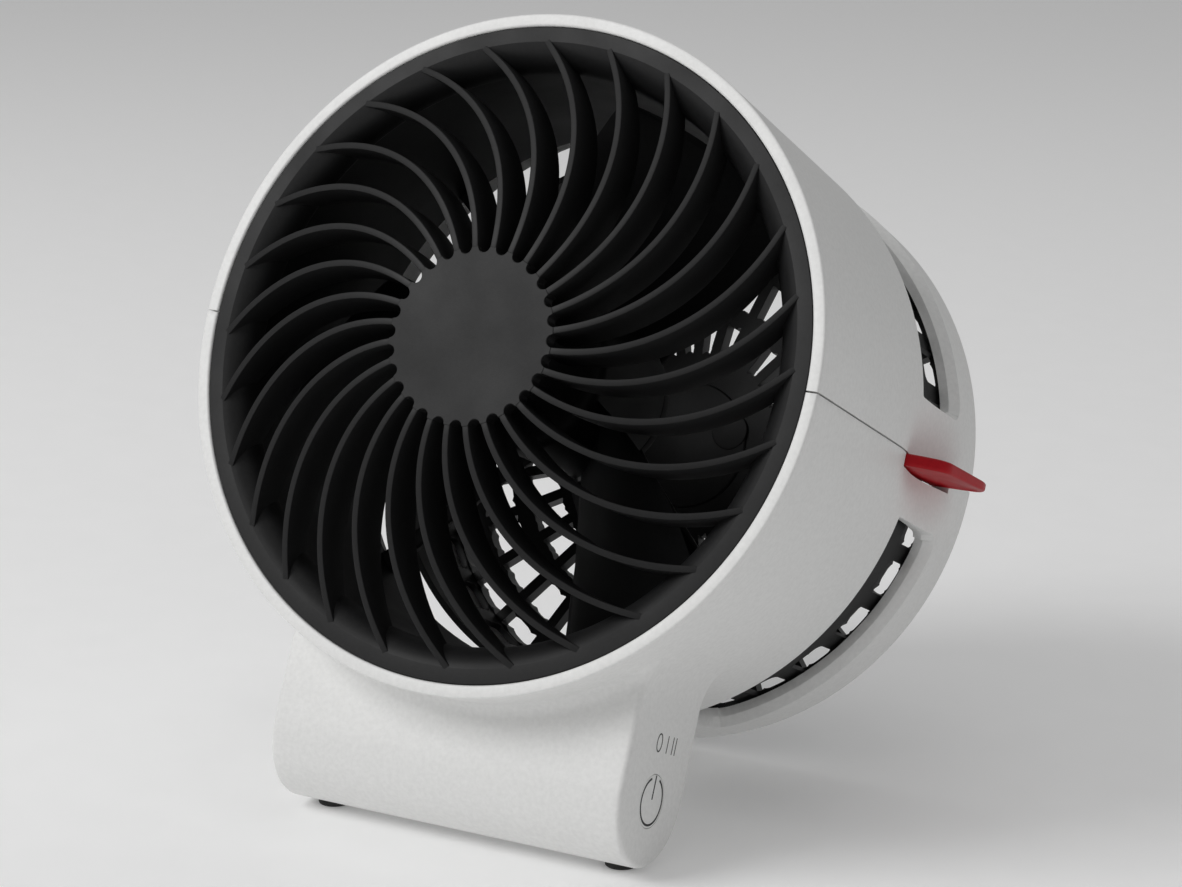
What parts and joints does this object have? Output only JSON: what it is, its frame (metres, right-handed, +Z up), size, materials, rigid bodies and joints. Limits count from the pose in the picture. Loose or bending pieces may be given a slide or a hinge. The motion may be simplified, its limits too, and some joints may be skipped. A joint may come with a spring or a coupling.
{
  "type": "desk fan",
  "caption": "Small drum-shaped desk fan on a slab foot, tipped back, with curved front fins, a split housing and a side release tab.",
  "frame": {"origin": "bottom centre of the object, on the surface it stands on", "axes": "+Z up, the air outlet faces -Y and tips up by 22 degrees, +X is the side with the release tab"},
  "size_m": [0.1596, 0.1568, 0.1769],
  "materials": {
    "white_plastic": "fine satin texture, injection moulded",
    "black_plastic": "satin black, slightly soft sheen",
    "inner_plastic": "satin black",
    "red_plastic": "smooth red",
    "rubber_feet": "matt moulded",
    "bright_steel": "plated",
    "laminated_steel": "dull, stacked",
    "copper_winding": "enamelled wire",
    "circuit_board": "green lacquer",
    "cable_jacket": "soft jacket"
  },
  "bodies": {
    "root": {"lower_shell": "white_plastic", "hinge_pin": "bright_steel", "front_grille": "black_plastic", "air_duct": "inner_plastic", "rear_grille": "black_plastic", "stator_core": "laminated_steel", "coil_1": "copper_winding", "coil_2": "copper_winding", "coil_3": "copper_winding", "coil_4": "copper_winding", "coil_5": "copper_winding", "coil_6": "copper_winding", "bearing_front": "bright_steel", "bearing_rear": "bright_steel", "motor_board": "circuit_board", "motor_cable": "cable_jacket", "control_board": "circuit_board", "tact_switch": "bright_steel", "power_inlet": "bright_steel", "base_cover": "white_plastic", "board_screw_left": "bright_steel", "cover_screw_left": "bright_steel", "foot_left": "rubber_feet", "board_screw_right": "bright_steel", "cover_screw_right": "bright_steel", "foot_right": "rubber_feet", "foot_rear": "rubber_feet"},
    "lid": {"upper_shell": "white_plastic"},
    "rotor": {"impeller": "inner_plastic", "motor_shaft": "bright_steel", "rotor_cup": "bright_steel", "magnet_ring": "laminated_steel", "shaft_clip": "bright_steel"},
    "tab": {"release_tab": "red_plastic"},
    "key": {"power_button": "white_plastic"}
  },
  "joints": [
    {"name": "impeller_spin", "type": "hinge", "parent": "root", "child": "rotor", "pos_m": [-0.00163, -0.02275, 0.09644], "axis": [0, 0.9272, -0.3746], "continuous": true},
    {"name": "lid_hinge", "type": "hinge", "parent": "root", "child": "lid", "pos_m": [-0.07723, 0.02269, 0.07808], "axis": [0, -0.9272, 0.3746], "range_deg": [0, 75]},
    {"name": "tab_slide", "type": "slide", "parent": "root", "child": "tab", "axis": [1, 0, 0], "range_m": [0, 0.003], "stiffness_N_per_m": 200},
    {"name": "key_press", "type": "slide", "parent": "root", "child": "key", "axis": [-1, 0, 0], "range_m": [0, 0.0006], "stiffness_N_per_m": 400}
  ]
}
